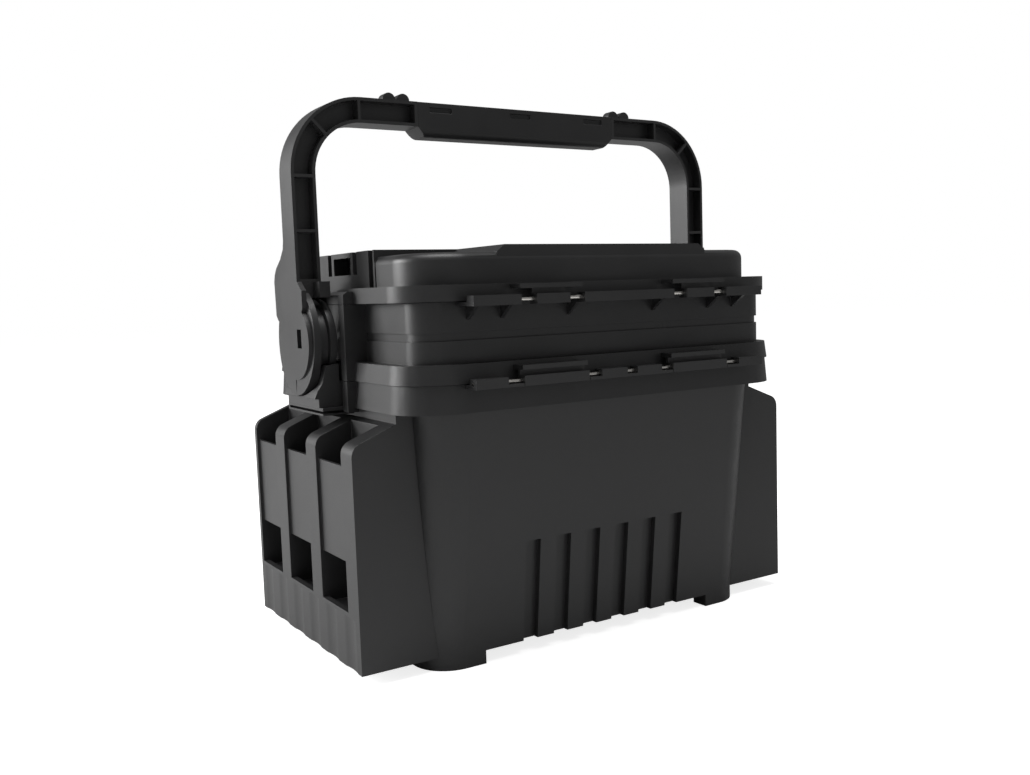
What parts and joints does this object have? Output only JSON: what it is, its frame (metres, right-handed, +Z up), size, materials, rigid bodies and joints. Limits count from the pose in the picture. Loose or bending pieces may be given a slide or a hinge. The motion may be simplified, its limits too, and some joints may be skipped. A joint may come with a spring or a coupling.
{
  "type": "fishing seat box",
  "caption": "Stackable moulded tackle box to sit on, with hinged tray, hinged seat lid, tool racks on both ends and a folding carrying handle.",
  "frame": {"origin": "on the floor under the middle of the box", "axes": "+X along the long side towards the right tool rack, +Y towards the hinges, +Z up"},
  "size_m": [0.434, 0.3244, 0.4563],
  "materials": {
    "bucket_plastic": "black moulded polypropylene, fine spark texture",
    "tray_plastic": "black moulded polypropylene, satin",
    "lid_plastic": "black moulded polypropylene, satin",
    "latch_plastic": "black moulded plastic, satin",
    "handle_plastic": "black glass-filled moulded plastic, satin",
    "grip_plastic": "softer black moulded plastic",
    "steel": "bright drawn steel wire"
  },
  "bodies": {
    "box": {"bucket": "bucket_plastic", "tool_rack_left": "bucket_plastic", "tool_rack_right": "bucket_plastic", "lower_hinge_pin": "steel", "handle_bracket_left": "handle_plastic", "handle_bracket_right": "handle_plastic", "handle_pivot_pin_left": "handle_plastic", "handle_pivot_pin_right": "handle_plastic"},
    "tray": {"tray": "tray_plastic", "tray_divider_left": "tray_plastic", "tray_divider_right": "tray_plastic", "upper_hinge_pin_left": "steel", "upper_hinge_pin_right": "steel", "tray_latch_pin_left": "steel", "tray_latch_pin_right": "steel"},
    "lid": {"seat_lid": "lid_plastic", "lid_latch_pin_left": "steel", "lid_latch_pin_right": "steel"},
    "handle": {"carrying_handle": "handle_plastic", "grip_cover": "grip_plastic"},
    "lid_latch_left": {"lid_latch_left": "latch_plastic"},
    "lid_latch_right": {"lid_latch_right": "latch_plastic"},
    "tray_latch_left": {"tray_latch_left": "latch_plastic"},
    "tray_latch_right": {"tray_latch_right": "latch_plastic"}
  },
  "joints": [
    {"name": "tray_hinge", "type": "hinge", "parent": "box", "child": "tray", "pos_m": [0, 0.157, 0.2235], "axis": [-1, 0, 0], "range_deg": [0, 26]},
    {"name": "lid_hinge", "type": "hinge", "parent": "tray", "child": "lid", "pos_m": [0, 0.157, 0.2832], "axis": [-1, 0, 0], "range_deg": [0, 27]},
    {"name": "handle_pivot", "type": "hinge", "parent": "box", "child": "handle", "pos_m": [0, 0, 0.2537], "axis": [-1, 0, 0], "range_deg": [-90, 90]},
    {"name": "lid_latch_left_pivot", "type": "hinge", "parent": "lid", "child": "lid_latch_left", "pos_m": [-0.09, -0.1545, 0.2883], "axis": [-1, 0, 0], "range_deg": [0, 100]},
    {"name": "tray_latch_left_pivot", "type": "hinge", "parent": "tray", "child": "tray_latch_left", "pos_m": [-0.09, -0.1545, 0.2286], "axis": [-1, 0, 0], "range_deg": [0, 100]},
    {"name": "lid_latch_right_pivot", "type": "hinge", "parent": "lid", "child": "lid_latch_right", "pos_m": [0.09, -0.1545, 0.2883], "axis": [-1, 0, 0], "range_deg": [0, 100]},
    {"name": "tray_latch_right_pivot", "type": "hinge", "parent": "tray", "child": "tray_latch_right", "pos_m": [0.09, -0.1545, 0.2286], "axis": [-1, 0, 0], "range_deg": [0, 100]}
  ]
}
